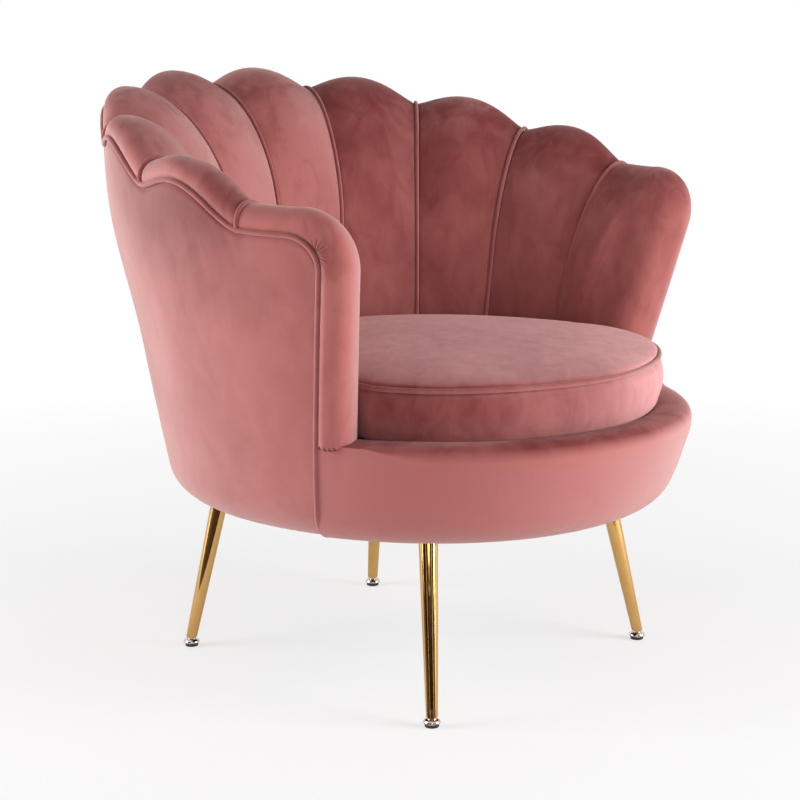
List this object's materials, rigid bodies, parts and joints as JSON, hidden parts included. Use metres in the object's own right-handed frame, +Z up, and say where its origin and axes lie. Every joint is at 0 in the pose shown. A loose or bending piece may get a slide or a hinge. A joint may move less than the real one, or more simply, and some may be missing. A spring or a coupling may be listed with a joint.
{
  "type": "scallop back tub chair",
  "caption": "Low tub armchair with a shell-like back of stuffed velvet channels, a loose round seat cushion and splayed tapered metal legs.",
  "frame": {"origin": "on the floor, under the middle of the chair's overall width and depth", "axes": "+Z up, the chair faces -Y, +X towards the sitter's left"},
  "size_m": [0.8224, 0.775, 0.7679],
  "materials": {
    "velvet": "dusty rose velvet",
    "velvet_piping": "dusty rose velvet over cord",
    "plywood": "raw plywood",
    "elastic_web": "woven elastic",
    "deck_foam": "foam under deck cloth",
    "black_cloth": "thin black cloth",
    "gold_metal": "polished gold plating on steel tube",
    "nickel": "polished nickel",
    "black_plastic": "black moulded plastic",
    "zinc_steel": "zinc plated"
  },
  "bodies": {
    "chair": {"channel_01": "velvet", "channel_02": "velvet", "channel_03": "velvet", "channel_04": "velvet", "channel_05": "velvet", "channel_06": "velvet", "channel_07": "velvet", "channel_08": "velvet", "channel_09": "velvet", "channel_10": "velvet", "channel_welt_1": "velvet_piping", "channel_welt_2": "velvet_piping", "channel_welt_3": "velvet_piping", "channel_welt_4": "velvet_piping", "channel_welt_5": "velvet_piping", "channel_welt_6": "velvet_piping", "channel_welt_7": "velvet_piping", "channel_welt_8": "velvet_piping", "channel_welt_9": "velvet_piping", "outer_piping": "velvet_piping", "outer_cover": "velvet", "front_apron": "velvet", "base_board": "plywood", "base_drum": "plywood", "seat_ring": "plywood", "top_rail": "plywood", "back_rib_1": "plywood", "back_rib_2": "plywood", "back_rib_3": "plywood", "back_rib_4": "plywood", "arm_post_right": "plywood", "arm_post_left": "plywood", "back_lining": "plywood", "web_strap_long_1": "elastic_web", "web_strap_long_2": "elastic_web", "web_strap_cross_1": "elastic_web", "web_strap_cross_2": "elastic_web", "deck_pad": "deck_foam", "dust_cover": "black_cloth", "leg_front_right": "gold_metal", "leg_front_left": "gold_metal", "leg_back_right": "gold_metal", "leg_back_left": "gold_metal", "tee_nut_front_right": "zinc_steel", "tee_nut_front_left": "zinc_steel", "tee_nut_back_right": "zinc_steel", "tee_nut_back_left": "zinc_steel"},
    "cushion": {"seat_cushion": "velvet", "cushion_piping": "velvet_piping"},
    "foot_front_right": {"foot_glide_front_right": "nickel", "foot_pad_front_right": "black_plastic"},
    "foot_front_left": {"foot_glide_front_left": "nickel", "foot_pad_front_left": "black_plastic"},
    "foot_back_right": {"foot_glide_back_right": "nickel", "foot_pad_back_right": "black_plastic"},
    "foot_back_left": {"foot_glide_back_left": "nickel", "foot_pad_back_left": "black_plastic"}
  },
  "joints": [
    {"name": "cushion_lift", "type": "slide", "parent": "chair", "child": "cushion", "axis": [0, 0, 1], "range_m": [0, 0.45]},
    {"name": "level_front_right", "type": "slide", "parent": "chair", "child": "foot_front_right", "axis": [0, 0, -1], "range_m": [0, 0.008]},
    {"name": "level_front_left", "type": "slide", "parent": "chair", "child": "foot_front_left", "axis": [0, 0, -1], "range_m": [0, 0.008]},
    {"name": "level_back_right", "type": "slide", "parent": "chair", "child": "foot_back_right", "axis": [0, 0, -1], "range_m": [0, 0.008]},
    {"name": "level_back_left", "type": "slide", "parent": "chair", "child": "foot_back_left", "axis": [0, 0, -1], "range_m": [0, 0.008]}
  ]
}
